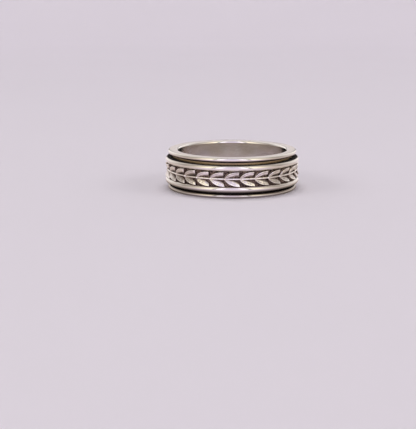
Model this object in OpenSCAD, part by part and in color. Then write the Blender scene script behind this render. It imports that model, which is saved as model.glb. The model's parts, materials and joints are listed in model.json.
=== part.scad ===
// A spinner ring: a base band with two rolled rims, and a patterned spinner that turns freely
// between them. Millimetres, +Z up along the finger hole, origin at the centre of the lower rim's
// flat face. The leaves of the pattern point anticlockwise, seen from above.

/* [Finger hole] */
// Inside diameter, which is the ring's size
bore_d = 18.2; // [15:0.1:22]
// Rounding of the hole's two edges
bore_round = 0.35; // [0.1:0.05:0.6]

/* [Base band] */
// Thickness of the wall that the spinner turns on
wall_t = 0.9; // [0.6:0.05:1.4]
// Width of each rim along the finger
rim_w = 0.7; // [0.6:0.02:1.2]
// Height of each rim above the wall
rim_h = 0.78; // [0.5:0.02:1.1]
// Height of the rounded crown on each rim
rim_crown = 0.28; // [0.15:0.01:0.33]

/* [Spinner] */
// Width of the spinner along the finger
spinner_w = 4.3; // [3.8:0.1:6]
// Radial running clearance between spinner and wall
run_gap = 0.08; // [0.02:0.01:0.1]
// Gap between the lower rim and the spinner
gap_below = 0.34; // [0.1:0.01:0.6]
// Gap between the spinner and the upper rim
gap_above = 0.5; // [0.1:0.01:0.9]
// Thickness of metal under the pattern
ground_t = 0.62; // [0.4:0.02:0.9]
// Width of each plain rail
rail_w = 0.9; // [0.8:0.02:1.1]
// Height of each rail above the ground
rail_h = 0.5; // [0.38:0.01:0.7]
// Height of the rounded crown on each rail
rail_crown = 0.34; // [0.22:0.01:0.42]

/* [Leaf pattern] */
// Number of leaf pairs round the spinner
leaf_pairs = 28; // [20:1:34]
// Height of a leaf's crest above the ground
leaf_h = 0.55; // [0.4:0.01:0.8]
// Radius of a leaf's crowned top
leaf_crown_r = 3.1; // [2.8:0.1:6]
// Angle by which the pattern is turned
leaf_phase = 6.8; // [0:0.2:12]
// Width of the stem between the leaves
stem_w = 0.32; // [0.26:0.01:0.36]
// Height of the stem above the ground
stem_h = 0.23; // [0.14:0.01:0.24]
// Distance from the stem's side to the base of a leaf's inner edge
leaf_base_gap = 0.015; // [0.01:0.005:0.05]
// Radius of the round knuckle where a leaf pair joins the stem
knuckle_r = 0.24; // [0.22:0.01:0.32]
// Height of the knuckle above the ground
knuckle_h = 0.31; // [0.26:0.01:0.4]

/* [Hidden] */
$fn = 96;

SILVER = [0.82, 0.80, 0.77];
OXIDISED = [0.74, 0.72, 0.69];

// How far a cutting or joining shape runs past the surface that it cuts or joins
lap = 0.1;

bore_r = bore_d / 2;
wall_r = bore_r + wall_t;
rim_r = wall_r + rim_h;
band_w = rim_w + gap_below + spinner_w + gap_above + rim_w;

spinner_bore_r = wall_r + run_gap;
ground_r = spinner_bore_r + ground_t;
rail_r = ground_r + rail_h;
leaf_r = ground_r + leaf_h;
spinner_z = rim_w + gap_below;
stem_z = spinner_z + spinner_w / 2;

// One leaf pair's share of the turn, its length on the ground, and the ground's half width
pair_angle = 360 / leaf_pairs;
pair_len = 2 * PI * ground_r / leaf_pairs;
half_strip = spinner_w / 2 - rail_w;

// A corner of a leaf: its share of the pair's length, and its share of the ground's half width
ALONG = 0;
ACROSS = 1;
// Corners of a leaf: heel, belly, tip and crest. The upper leaf ends bluntly, and the lower in a point.
HEEL = 0;
BELLY = 1;
TIP = 2;
CREST = 3;
UPPER_LEAF = [[0.92, 0.22], [0.94, 0.46], [0.96, 0.89], [0.58, 0.60]];
LOWER_LEAF = [[0.64, 0.17], [0.94, 0.46], [1.02, 0.89], [0.55, 0.56]];
// Rise of a leaf's arched outer edge above the line from base to tip, as a share of the pair's length
leaf_arch = 0.19;
// How many times its own length a leaf's straight side runs on, for the arched edge to trim
side_run = 2;

// A corner of a leaf in millimetres, from the middle of the pair and from the stem's centre line
function leaf_point(corner) = [(corner[ALONG] - 0.5) * pair_len, corner[ACROSS] * half_strip];

// Where both leaves of a pair begin, beside the stem
leaf_base = [-0.5 * pair_len, stem_w / 2 + leaf_base_gap];

// Radius of the circle whose cap has this width and height
function cap_radius(width, height) = (pow(width / 2, 2) + pow(height, 2)) / (2 * height);

// Half section of a band with a crowned top, from inner_r out to outer_r, standing on z
module crowned_section(inner_r, outer_r, z, width, crown) {
    cap_r = cap_radius(width, crown);
    cap_x = outer_r - cap_r;
    translate([inner_r, z])
        square([cap_x - inner_r, width]);
    intersection() {
        translate([cap_x, z + width / 2])
            circle(r = cap_r);
        translate([cap_x - lap, z])
            square([cap_r + 2 * lap, width]);
    }
}

// What the rounding of the hole's lower edge takes off the section
module bore_edge_cut() {
    difference() {
        translate([bore_r - lap, -lap])
            square([bore_round + lap, bore_round + lap]);
        translate([bore_r + bore_round, bore_round])
            circle(r = bore_round);
    }
}

module base_section() {
    difference() {
        union() {
            translate([bore_r, 0])
                square([wall_t, band_w]);
            for (z = [0, band_w - rim_w])
                crowned_section(bore_r, rim_r, z, rim_w, rim_crown);
        }
        bore_edge_cut();
        translate([0, band_w])
            mirror([0, 1])
                bore_edge_cut();
    }
}

module base_band() {
    color(SILVER)
        rotate_extrude()
            base_section();
}

module spinner_section() {
    translate([spinner_bore_r, spinner_z])
        square([ground_t, spinner_w]);
    for (z = [spinner_z, spinner_z + spinner_w - rail_w])
        crowned_section(spinner_bore_r, rail_r, z, rail_w, rail_crown);
    translate([ground_r + stem_h - stem_w / 2, stem_z])
        circle(d = stem_w);
}

// Outline of a leaf: a wedge between stem and tip, with an arched outer edge
module leaf_outline(corners) {
    base = leaf_base;
    heel = leaf_point(corners[HEEL]);
    belly = leaf_point(corners[BELLY]);
    tip = leaf_point(corners[TIP]);
    span = tip - base;
    rise = leaf_arch * pair_len;
    arch_r = cap_radius(norm(span), rise);
    inward = [span[ACROSS], -span[ALONG]] / norm(span);
    intersection() {
        translate((base + tip) / 2 + inward * (arch_r - rise))
            circle(r = arch_r);
        polygon([
            heel,
            belly,
            belly + side_run * (tip - belly),
            [-pair_len, side_run * half_strip],
            heel + side_run * (base - heel)
        ]);
    }
}

// A leaf above the stem, in its own frame: X along the stem, Y across it, Z out from the axis
module leaf(corners) {
    crest = leaf_point(corners[CREST]);
    intersection() {
        translate([crest[ALONG], crest[ACROSS], leaf_r - leaf_crown_r])
            sphere(r = leaf_crown_r);
        translate([0, 0, ground_r - 2 * lap])
            linear_extrude(height = leaf_h + 3 * lap)
                leaf_outline(corners);
    }
}

// Both leaves of a pair and the knuckle between their bases, at the right of the ring
module leaf_pair() {
    translate([0, 0, stem_z])
        rotate([90, 0, 90]) {
            leaf(UPPER_LEAF);
            mirror([0, 1, 0])
                leaf(LOWER_LEAF);
            translate([leaf_base[ALONG], 0, ground_r + knuckle_h - knuckle_r])
                sphere(r = knuckle_r);
        }
}

module spinner_band() {
    color(OXIDISED)
        union() {
            rotate_extrude()
                spinner_section();
            for (pair = [0 : leaf_pairs - 1])
                rotate([0, 0, leaf_phase + (pair + 0.5) * pair_angle])
                    leaf_pair();
        }
}

base_band();
spinner_band();
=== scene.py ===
"""A silver spinner ring that lies on its side on a pale surface.

An inner band with two rounded rims is worn on the finger. A free outer band turns between the rims: it
has two plain rails, and between them a cast laurel branch over a blackened ground.
"""

from __future__ import annotations

import json
import logging
import math
import random
from collections.abc import Mapping, Sequence
from dataclasses import dataclass, replace
from enum import Enum
from typing import Any

import bmesh
import bpy
import numpy as np
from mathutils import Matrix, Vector

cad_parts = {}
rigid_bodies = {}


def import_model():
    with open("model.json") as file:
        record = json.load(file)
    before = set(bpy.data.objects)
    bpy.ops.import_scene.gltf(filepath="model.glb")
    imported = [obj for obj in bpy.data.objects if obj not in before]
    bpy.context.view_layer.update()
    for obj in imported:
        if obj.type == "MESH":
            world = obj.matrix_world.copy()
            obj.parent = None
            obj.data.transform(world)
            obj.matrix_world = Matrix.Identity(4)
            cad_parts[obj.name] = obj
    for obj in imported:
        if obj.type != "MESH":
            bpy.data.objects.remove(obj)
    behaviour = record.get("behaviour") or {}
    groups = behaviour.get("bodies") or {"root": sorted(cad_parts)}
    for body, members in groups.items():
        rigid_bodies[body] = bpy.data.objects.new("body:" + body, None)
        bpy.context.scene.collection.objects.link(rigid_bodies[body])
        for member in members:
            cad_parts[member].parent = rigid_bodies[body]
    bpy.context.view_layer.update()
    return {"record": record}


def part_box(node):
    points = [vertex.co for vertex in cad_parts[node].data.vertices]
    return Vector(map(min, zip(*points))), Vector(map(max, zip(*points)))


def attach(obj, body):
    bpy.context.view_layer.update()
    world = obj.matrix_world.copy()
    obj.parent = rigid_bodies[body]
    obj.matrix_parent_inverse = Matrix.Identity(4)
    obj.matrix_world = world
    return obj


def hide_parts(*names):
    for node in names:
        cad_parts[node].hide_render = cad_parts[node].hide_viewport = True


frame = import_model()

log = logging.getLogger("spinner_ring")

MM = 0.001
TURN = 2 * math.pi

Array = np.ndarray
Socket = bpy.types.NodeSocket
Material = bpy.types.Material
Piece = bpy.types.Object
Colour = tuple[float, float, float]
Place = tuple[float, float, float]
Pair = tuple[float, float]
Face = tuple[int, ...]
Edge = tuple[Pair, ...]
Stops = tuple[tuple[float, Colour], ...]
Inputs = Mapping[Any, Any]


class Body(Enum):
    """The bodies that pieces ride on."""

    BASE = "base"
    SPINNER = "spinner"


class Slot(Enum):
    """The record's material slots."""

    POLISHED = "polished_silver"
    OXIDISED = "oxidised_silver"


class Row(Enum):
    """The two rows of leaves along the stem, each with the side that it stands on."""

    UPPER = 1
    LOWER = -1


def srgb(red: float, green: float, blue: float) -> Colour:
    """Turns a colour as it is seen, 0 to 255, into the linear values that nodes take.

    Args:
        red, green, blue: The colour's channels.

    Returns:
        The linear colour, 0 to 1.
    """

    def linear(value: float) -> float:
        """Undoes the display curve for one channel."""
        share = value / 255
        return share / 12.92 if share <= 0.04045 else ((share + 0.055) / 1.055) ** 2.4

    return linear(red), linear(green), linear(blue)


class Wire:
    """A number socket that takes part in Python arithmetic by adding Math nodes."""

    def __init__(self, sheet: NodeSheet, socket: Socket) -> None:
        """Keeps the socket and the sheet that its nodes go on."""
        self.sheet = sheet
        self.socket = socket

    def math(self, operation: str, *others: Wire | float) -> Wire:
        """Adds one Math node that starts with this wire."""
        return self.sheet.math(operation, self, *others)

    def __add__(self, other: Wire | float) -> Wire:
        """Adds."""
        return self.math("ADD", other)

    __radd__ = __add__

    def __sub__(self, other: Wire | float) -> Wire:
        """Subtracts."""
        return self.math("SUBTRACT", other)

    def __rsub__(self, other: float) -> Wire:
        """Subtracts from a number."""
        return self.sheet.math("SUBTRACT", other, self)

    def __mul__(self, other: Wire | float) -> Wire:
        """Multiplies."""
        return self.math("MULTIPLY", other)

    __rmul__ = __mul__

    def __truediv__(self, other: Wire | float) -> Wire:
        """Divides."""
        return self.math("DIVIDE", other)

    def __abs__(self) -> Wire:
        """Drops the sign."""
        return self.math("ABSOLUTE")


@dataclass(frozen=True)
class Fade:
    """How a mask follows a measure.

    Attributes:
        none, full: Where the mask is 0, and where it is full.
        strength: Its strength where it is full.
    """

    none: float
    full: float
    strength: float = 1.0

    def of(self, measure: Wire, start: float = 0.0) -> Wire:
        """Makes the mask, with a smooth rise from none to full.

        Args:
            measure: What the mask follows.
            start: The measure from which none and full are counted.

        Returns:
            The mask.
        """
        low, high = sorted((start + self.none, start + self.full))
        sockets = {"Value": measure, "From Min": low, "From Max": high}
        rise = measure.sheet.out("ShaderNodeMapRange", sockets, interpolation_type="SMOOTHSTEP")
        return (rise if self.none < self.full else 1 - rise) * self.strength


@dataclass(frozen=True)
class Grain:
    """A noise pattern.

    Attributes:
        cells: Its cells in a metre, round the band where it is brushed.
        detail, roughness: How many finer layers are added, and how strong they are.
        across: Its cells in a metre across the band, where it is brushed.
    """

    cells: float
    detail: float = 2.0
    roughness: float = 0.5
    across: float | None = None


class NodeSheet:
    """A node tree that is written one call to a node."""

    def __init__(self, tree: bpy.types.NodeTree) -> None:
        """Keeps the tree."""
        self.tree = tree

    def node(self, kind: str, sockets: Inputs | None = None, **settings: Any) -> bpy.types.Node:
        """Adds a node.

        Args:
            kind: The node's type.
            sockets: The value or link of each named or numbered input.
            settings: Its settings, which are set first. Stops are a colour ramp's places and colours.

        Returns:
            The node.
        """
        made = self.tree.nodes.new(kind)
        for name, value in settings.items():
            if name == "stops":
                self.set_stops(made.color_ramp, value)
            else:
                setattr(made, name, value)
        for name, value in (sockets or {}).items():
            self.feed(self.find(made.inputs, name), value)
        return made

    @staticmethod
    def set_stops(ramp: bpy.types.ColorRamp, stops: Sequence[tuple[float, Colour]]) -> None:
        """Gives a colour ramp its stops.

        Args:
            ramp: The ramp.
            stops: Each stop's place and colour, in order.
        """
        while len(ramp.elements) < len(stops):
            ramp.elements.new(1.0)
        for element, (place, colour) in zip(ramp.elements, stops):
            element.position = place
            element.color = (*colour, 1.0)

    @staticmethod
    def find(sockets: Any, name: str | int) -> Socket:
        """Finds a socket.

        Args:
            sockets: A node's inputs or outputs.
            name: Its number, identifier or name.

        Returns:
            The socket, the enabled one where several share a name.
        """
        if isinstance(name, int):
            return sockets[name]
        for socket in sockets:
            if socket.identifier == name:
                return socket
        return next(socket for socket in sockets if socket.name == name and socket.enabled)

    def feed(self, socket: Socket, value: Any) -> None:
        """Links a socket, or sets its value.

        Args:
            socket: The input.
            value: A wire, a socket, a colour or another plain value.
        """
        if isinstance(value, Wire):
            value = value.socket
        if isinstance(value, Socket):
            self.tree.links.new(value, socket)
        else:
            socket.default_value = (*value, 1.0) if socket.type == "RGBA" else value

    def wired(self, socket: Socket) -> Wire | Socket:
        """Wraps a number's socket in a wire, and leaves any other socket as it is."""
        return Wire(self, socket) if socket.type in ("VALUE", "INT") else socket

    def out(self, kind: str, sockets: Inputs | None = None, name: str | int = 0, **settings: Any) -> Any:
        """Adds a node and returns its named or numbered output, a number's as a wire."""
        return self.wired(self.find(self.node(kind, sockets, **settings).outputs, name))

    def math(self, operation: str, *values: Wire | float) -> Wire:
        """Adds one Math node."""
        return self.out("ShaderNodeMath", dict(enumerate(values)), operation=operation)

    def vector(self, x: Any, y: Any, z: Any) -> Socket:
        """Joins three numbers into a vector."""
        return self.out("ShaderNodeCombineXYZ", {0: x, 1: y, 2: z})

    def length(self, vector: Socket) -> Wire:
        """Measures a vector."""
        return self.out("ShaderNodeVectorMath", {0: vector}, "Value", operation="LENGTH")

    def blend(self, share: Any, under: Any, over: Any, mode: str = "MIX") -> Socket:
        """Mixes two colours, plain or linked, by how much of the second shows."""
        sockets = {"Factor_Float": share, "A_Color": under, "B_Color": over}
        return self.out("ShaderNodeMix", sockets, "Result_Color", data_type="RGBA", blend_type=mode)


class SurfaceSheet(NodeSheet):
    """A material's nodes, with the measures that finishes and lights are worked out from.

    Attributes:
        OUTWARD: How much a step outwards counts beside a step up, where a pattern is brushed.
    """

    OUTWARD = 0.7

    def __init__(self, name: str, kind: str = "ShaderNodeBsdfPrincipled") -> None:
        """Makes the material, its shader and the measures of place.

        Args:
            name: The material's name.
            kind: The type of its shader.
        """
        self.material = bpy.data.materials.new(name)
        self.material.use_nodes = True
        super().__init__(self.material.node_tree)
        self.tree.nodes.clear()
        self.shader = self.node(kind)
        self.node("ShaderNodeOutputMaterial", {"Surface": self.shader.outputs[0]})
        self.place = self.out("ShaderNodeTexCoord", name="Object")
        parts = self.node("ShaderNodeSeparateXYZ", {0: self.place})
        self.x, self.y, self.z = (self.wired(part) for part in parts.outputs)
        self.radius = self.length(self.vector(self.x, self.y, 0.0))

    def bearing(self) -> Wire:
        """Measures the angle round the axis from the front, to either side, from 0 to pi."""
        return abs(self.x.math("ARCTAN2", self.y * -1.0))

    def noise(self, grain: Grain, place: Socket | None = None) -> Wire:
        """Adds a noise texture.

        Args:
            grain: The pattern. A brushed one runs in streaks round the band.
            place: Where it is read, if not at the surface's own place.

        Returns:
            The noise, 0 to 1 with a mean of a half.
        """
        place, scale = place or self.place, grain.cells
        if grain.across is not None:
            height = (self.z + self.radius * self.OUTWARD) * grain.across
            place, scale = self.vector(self.x * scale, self.y * scale, height), 1.0
        sockets = {"Vector": place, "Scale": scale, "Detail": grain.detail, "Roughness": grain.roughness}
        return self.out("ShaderNodeTexNoise", sockets)

    def layered(self, colour: Any, *layers: tuple[Any, Any]) -> Socket:
        """Lays tints over a colour.

        Args:
            colour: The first colour.
            layers: Each tint's share and the tint, from the lowest to the highest.

        Returns:
            The mixed colour.
        """
        for share, tint in layers:
            colour = self.blend(share, colour, tint)
        return colour

    def bump(self, height: Wire) -> Socket:
        """Turns a height in metres into a normal."""
        return self.out("ShaderNodeBump", {"Strength": 1.0, "Distance": 1.0, "Height": height})

    def dress(self, **sockets: Any) -> Material:
        """Feeds the shader.

        Args:
            sockets: The value or link of each input, under its name in small letters.

        Returns:
            The material.
        """
        inputs = {socket.name.lower().replace(" ", "_"): socket for socket in self.shader.inputs}
        for name, value in sockets.items():
            self.feed(inputs[name], value)
        return self.material


@dataclass(frozen=True)
class SilverLook:
    """What the silver finishes share.

    Attributes:
        metal, brown, black, worn: Colours of clean silver, of thin tarnish, of black and of worn black.
        gloss_low, gloss_high: Roughness where the polish is best, and where it is worn.
        smudge, streak, streak_share: Slow and brushed changes of the polish, and the share of the brushed.
        polish: How the roughness follows them.
        soot_cover, soot_matt: How much less metallic and how much rougher soot is.
        lines, line_depth: The fine lines that the polishing wheel leaves.
        pit, pit_mask, pit_depth: Small pits.
        scratch_cells, scratch_leans: Cells in a metre across and along a scratch, and directions.
        scratch_mask, scratch_depth: How a scratch follows its noise, and its depth.
    """

    metal: Colour = (0.85, 0.82, 0.78)
    brown: Colour = srgb(128, 106, 90)
    black: Colour = srgb(42, 34, 33)
    worn: Colour = srgb(136, 116, 104)
    gloss_low: float = 0.055
    gloss_high: float = 0.13
    smudge: Grain = Grain(420.0, 3.0)
    streak: Grain = Grain(900.0, across=22000.0)
    streak_share: float = 0.35
    polish: Fade = Fade(0.32, 0.68)
    soot_cover: float = 0.4
    soot_matt: float = 0.25
    lines: Grain = Grain(500.0, 3.0, 0.6, across=26000.0)
    line_depth: float = 0.0011 * MM
    pit: Grain = Grain(5200.0)
    pit_mask: Fade = Fade(0.66, 0.76)
    pit_depth: float = 0.00165 * MM
    scratch_cells: Pair = (15000.0, 600.0)
    scratch_leans: tuple[Place, ...] = ((0.80, 0.48, 0.36), (-0.48, 0.64, 0.60))
    scratch_mask: Fade = Fade(0.68, 0.76)
    scratch_depth: float = 0.00143 * MM

    def gloss(self, sheet: SurfaceSheet) -> Wire:
        """Makes the roughness of handled silver: slow smudges, with fine streaks round the band.

        Args:
            sheet: The material's nodes.

        Returns:
            The roughness.
        """
        smudges = sheet.noise(self.smudge) * (1 - self.streak_share)
        share = self.polish.of(smudges + sheet.noise(self.streak) * self.streak_share)
        return share * (self.gloss_high - self.gloss_low) + self.gloss_low

    def relief(self, sheet: SurfaceSheet) -> Wire:
        """Makes the height of polishing lines, small pits and scratches.

        Args:
            sheet: The material's nodes.

        Returns:
            The height in metres.
        """
        height = sheet.noise(self.lines) * self.line_depth
        height = height - self.pit_mask.of(sheet.noise(self.pit)) * self.pit_depth
        for lean in self.scratch_leans:
            height = height - self.scratches(sheet, lean) * self.scratch_depth
        return height

    def scratches(self, sheet: SurfaceSheet, lean: Place) -> Wire:
        """Makes a mask of short straight scratches that all run one way.

        Args:
            sheet: The material's nodes.
            lean: The direction that they run in.

        Returns:
            The mask, 1 in a scratch.
        """
        fine, long = self.scratch_cells
        axes = (sheet.x, sheet.y, sheet.z)
        along = sum(axis * share for axis, share in zip(axes, lean)) * (fine - long)
        place = sheet.vector(*(axis * fine - along * share for axis, share in zip(axes, lean)))
        return self.scratch_mask.of(sheet.noise(Grain(1.0, 1.0), place))


@dataclass(frozen=True)
class BandSilver(SilverLook):
    """Polished silver of the inner band: a golden tarnish in the channel, black in its corners that is
    partly tarnish and partly painted shade, umber on the rims' flanks that is partly tarnish and partly
    painted shade, a seam.

    Sides say how a mask ends at the channel's lower and upper side, by the height from that side. An edge
    says how it ends by the distance out from a radius.

    Attributes:
        wall_r, rim_r: Radii of the channel's floor and of the rims.
        low, high: Heights of the channel's two sides.
        gold, shade_umber: Colours of the channel's floor, and of the rims' flanks beside the channel, where
            the umber is partly tarnish and partly painted shade.
        honey, rubbed: Colours of the faint haze, and of the inside, which the finger keeps clean.
        cloud: The noise that breaks the tarnish's edges.
        outside, inside: Where the outer faces and the inside begin, from wall_r.
        corner_shade_sides, corner_shade_edge, corner_shade_waver: Ends of the black in the channel's
        corners, partly tarnish and partly painted shade, from rim_r, and how far the cloud moves them.
        flank_shade_sides, flank_shade_share: Ends of the umber, its least strength and what a full cloud
            adds.
        flank_shade_sides, flank_shade_share: Ends of the umber on the flanks, which is partly tarnish and
            partly painted shade, its least strength and what a full cloud adds.
        haze, bore_haze: How the haze follows the cloud, and what the inside adds to it.
        seam_angle, seam_front: Where the band's ends were soldered, and how that side of the band begins.
        seam_edge, seam_wave, seam_waver: Ends of the seam beside its middle, and how it wavers.
        seam_spots, seam_gaps: How the seam is broken.
        seam_foot, seam_share, seam_depth: Its strength low down, its colour's strength and its depth.
    """

    wall_r: float = 10.0 * MM
    rim_r: float = 10.78 * MM
    low: float = 0.7 * MM
    high: float = 5.84 * MM
    gold: Colour = srgb(186, 164, 126)
    shade_umber: Colour = srgb(112, 90, 76)
    honey: Colour = srgb(214, 190, 152)
    rubbed: Colour = (0.945, 0.925, 0.90)
    cloud: Grain = Grain(700.0, 3.0)
    outside: Fade = Fade(-0.4 * MM, -0.2 * MM)
    inside: Fade = Fade(-0.5 * MM, -0.8 * MM)
    corner_shade_sides: tuple[Fade, Fade] = (Fade(-0.36 * MM, -0.12 * MM), Fade(0.20 * MM, 0.04 * MM))
    corner_shade_edge: Fade = Fade(-0.12 * MM, -0.24 * MM)
    corner_shade_waver: float = 0.10 * MM
    flank_shade_sides: tuple[Fade, Fade] = (Fade(-0.34 * MM, -0.18 * MM), Fade(0.35 * MM, 0.19 * MM))
    flank_shade_share: Pair = (0.60, 0.32)
    floor_sides: tuple[Fade, Fade] = (Fade(0.18 * MM, 0.30 * MM), Fade(-0.16 * MM, -0.26 * MM))
    floor_edge: Fade = Fade(0.09 * MM, 0.03 * MM)
    haze: Fade = Fade(0.45, 0.80, 0.10)
    bore_haze: Fade = Fade(0.30, 0.75, 0.10)
    seam_angle: float = math.radians(-94.2)
    seam_edge: Fade = Fade(0.035 * MM, 0.0105 * MM)
    seam_waver: float = 0.06 * MM
    seam_wave: Grain = Grain(1500.0)
    seam_front: Fade = Fade(0.0, 1.0 * MM)
    seam_spots: Grain = Grain(3100.0)
    seam_gaps: Fade = Fade(0.35, 0.60)
    seam_foot: float = 0.2
    seam_share: float = 0.4
    seam_depth: float = 0.004 * MM

    def material(self) -> Material:
        """Makes the finish.

        Returns:
            The material.
        """
        sheet = SurfaceSheet("inner_band_silver")
        cloud = sheet.noise(self.cloud)
        outside = self.outside.of(sheet.radius, self.wall_r)
        inside = self.inside.of(sheet.radius, self.wall_r)
        # Black in the channel's corners and on the rims' inner walls: partly tarnish, partly painted shade
        # for the dark gaps between the two bands.
        below_rim = self.corner_shade_edge.of(sheet.radius + (cloud - 0.5) * self.corner_shade_waver, self.rim_r)
        deep = below_rim * self.between(sheet, self.corner_shade_sides) * outside
        floor = self.floor_edge.of(sheet.radius, self.wall_r) * outside
        floor = floor * self.between(sheet, self.floor_sides)
        soot = deep * (1 - floor)
        # Umber on the rims' flanks beside the channel: partly tarnish, partly painted shade where the outer
        # band shades the rims.
        thin, thick = self.flank_shade_share
        flank_shade = self.between(sheet, self.flank_shade_sides) * outside * (cloud * thick + thin)
        seam = self.seam(sheet)
        haze = self.haze.of(cloud) + inside * self.bore_haze.of(cloud)
        colour = sheet.layered(
            self.metal,
            (inside, self.rubbed),
            (haze, self.honey),
            (flank_shade, self.shade_umber),
            (soot, self.black),
            (floor, self.gold),
            (seam * self.seam_share, self.brown),
        )
        return sheet.dress(
            base_color=colour,
            metallic=1.0 - soot * self.soot_cover,
            roughness=self.gloss(sheet) + deep * self.soot_matt,
            normal=sheet.bump(self.relief(sheet) - seam * self.seam_depth),
        )

    def between(self, sheet: SurfaceSheet, sides: tuple[Fade, Fade]) -> Wire:
        """Makes a mask that lies between the channel's lower and upper side."""
        lower, upper = sides
        return lower.of(sheet.z, self.low) * upper.of(sheet.z, self.high)

    def seam(self, sheet: SurfaceSheet) -> Wire:
        """Makes the soldered seam, a faint line across the upper half of the band.

        Args:
            sheet: The material's nodes.

        Returns:
            The mask, 1 in the seam.
        """
        cosine, sine = math.cos(self.seam_angle), math.sin(self.seam_angle)
        waver = (sheet.noise(self.seam_wave) - 0.5) * self.seam_waver
        line = self.seam_edge.of(abs(sheet.y * cosine - sheet.x * sine + waver))
        front = self.seam_front.of(sheet.x * cosine + sheet.y * sine)
        gaps = self.seam_gaps.of(sheet.noise(self.seam_spots))
        upper = Fade(self.low, self.high, 1 - self.seam_foot).of(sheet.z) + self.seam_foot
        return line * front * gaps * upper


@dataclass(frozen=True)
class RailSilver(SilverLook):
    """Silver of the outer band's plain rails, with the ground blackened, and painted shade on the band's
    flat sides, which face the gaps beside the inner band's rims.

    Attributes:
        low, high, rail_r: Heights of the band's two sides, and radius of the rails.
        gap_shade, honey: Colours of the painted shade on the band's sides, and of the faint haze on the
            rails.
        cloud, waver: The noise that breaks the tarnish's edges, and how far it moves them.
        grain, grain_depth, worn_spots: Noise and depth of the blackened ground, and where its black is worn.
        veil, soot: How the brown and the black start down a rail's slope, from rail_r.
        side, side_r: How the sides' painted shade ends, in from a side and below the rails.
        gap_shade_matt: How much rougher and less metallic the sides' painted shade makes them.
        haze: How the haze follows the cloud.
    """

    low: float = 1.04 * MM
    high: float = 5.34 * MM
    rail_r: float = 11.2 * MM
    soot_cover: float = 0.25
    gap_shade: Colour = srgb(30, 25, 25)
    honey: Colour = srgb(206, 186, 158)
    cloud: Grain = Grain(900.0, 3.0)
    waver: float = 0.09 * MM
    grain: Grain = Grain(5200.0, 3.0, 0.6)
    worn_spots: Fade = Fade(0.42, 0.66)
    grain_depth: float = 0.03 * MM
    veil: Fade = Fade(-0.06 * MM, -0.36 * MM, 0.70)
    soot: Fade = Fade(-0.21 * MM, -0.31 * MM)
    side: Fade = Fade(0.10 * MM, 0.03 * MM)
    side_r: Fade = Fade(-0.20 * MM, -0.30 * MM)
    gap_shade_matt: float = 0.60
    haze: Fade = Fade(0.50, 0.80, 0.08)

    def material(self) -> Material:
        """Makes the finish.

        Returns:
            The material.
        """
        sheet = SurfaceSheet("rail_silver")
        cloud = sheet.noise(self.cloud)
        grain = sheet.noise(self.grain)
        radius = sheet.radius + (cloud - 0.5) * self.waver
        soot = self.soot.of(radius, self.rail_r)
        # Painted shade: the band's flat sides, which face the dark gaps beside the inner band's rims, are
        # made near black, matt and less metallic.
        sides = self.side.of(sheet.z, self.low) + self.side.of(self.high - sheet.z)
        sides = sides * self.side_r.of(sheet.radius, self.rail_r)
        dark = sheet.blend(self.worn_spots.of(grain), self.black, self.worn)
        colour = sheet.layered(
            self.metal,
            (self.haze.of(cloud), self.honey),
            (self.veil.of(radius, self.rail_r), self.brown),
            (soot, dark),
            (sides, self.gap_shade),
        )
        return sheet.dress(
            base_color=colour,
            metallic=1.0 - soot * self.soot_cover - sides * self.gap_shade_matt,
            roughness=self.gloss(sheet) + soot * self.soot_matt + sides * self.gap_shade_matt,
            normal=sheet.bump(self.relief(sheet) + grain * soot * self.grain_depth),
        )


@dataclass(frozen=True)
class BranchSilver(SilverLook):
    """Silver of the cast branch: polished on top, brown down its slopes and black at its foot.

    Attributes:
        rise: Name of the attribute that holds how high each point is on its leaf, stem or knuckle.
        crease: Name of the attribute that holds how deep each point lies in a leaf's midrib.
        cloud, cloud_share: The noise that breaks the tarnish's edges, and how far it moves them.
        worn_spots: How the worn black follows the cloud.
        veil, soot: How the brown and the black follow the rise.
        crease_share: The black's least strength in a midrib, and what a full cloud adds.
        lumps, lump_depth: The small unevenness of the cast surface.
    """

    rise: str = "rise"
    crease: str = "crease"
    metal: Colour = (0.99, 0.955, 0.92)
    gloss_low: float = 0.045
    gloss_high: float = 0.11
    soot_matt: float = 0.30
    cloud: Grain = Grain(2400.0, 3.0)
    cloud_share: float = 0.30
    worn_spots: Fade = Fade(0.36, 0.60)
    veil: Fade = Fade(0.98, 0.34, 0.62)
    soot: Fade = Fade(0.30, 0.04)
    crease_share: Pair = (0.15, 0.60)
    lumps: Grain = Grain(3600.0, 1.0)
    lump_depth: float = 0.044 * MM

    def material(self) -> Material:
        """Makes the finish.

        Returns:
            The material.
        """
        sheet = SurfaceSheet("branch_silver")
        cloud = sheet.noise(self.cloud)
        rise = sheet.out("ShaderNodeAttribute", name="Fac", attribute_name=self.rise)
        rise = rise + (cloud - 0.5) * self.cloud_share
        soot = self.soot.of(rise)
        crease = sheet.out("ShaderNodeAttribute", name="Fac", attribute_name=self.crease)
        thin, thick = self.crease_share
        dark = sheet.blend(self.worn_spots.of(cloud), self.black, self.worn)
        creased = crease * (cloud * thick + thin)
        colour = sheet.layered(self.metal, (self.veil.of(rise), self.brown), (creased, dark), (soot, dark))
        return sheet.dress(
            base_color=colour,
            metallic=1.0 - soot * self.soot_cover,
            roughness=self.gloss(sheet) + soot * self.soot_matt,
            normal=sheet.bump(self.relief(sheet) + sheet.noise(self.lumps) * self.lump_depth),
        )


def new_piece(name: str, verts: Any, faces: Sequence[Face], material: Material | None = None) -> Piece:
    """Makes a mesh object at the origin, with smooth faces.

    Args:
        name: The piece's name.
        verts: Its vertices.
        faces: Its faces.
        material: Its finish.

    Returns:
        The object, linked to the scene.
    """
    mesh = bpy.data.meshes.new(name)
    mesh.from_pydata([tuple(place) for place in verts], [], [tuple(face) for face in faces])
    mesh.validate()
    mesh.polygons.foreach_set("use_smooth", [True] * len(mesh.polygons))
    if material is not None:
        mesh.materials.append(material)
    piece = bpy.data.objects.new(name, mesh)
    bpy.context.scene.collection.objects.link(piece)
    return piece


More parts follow.
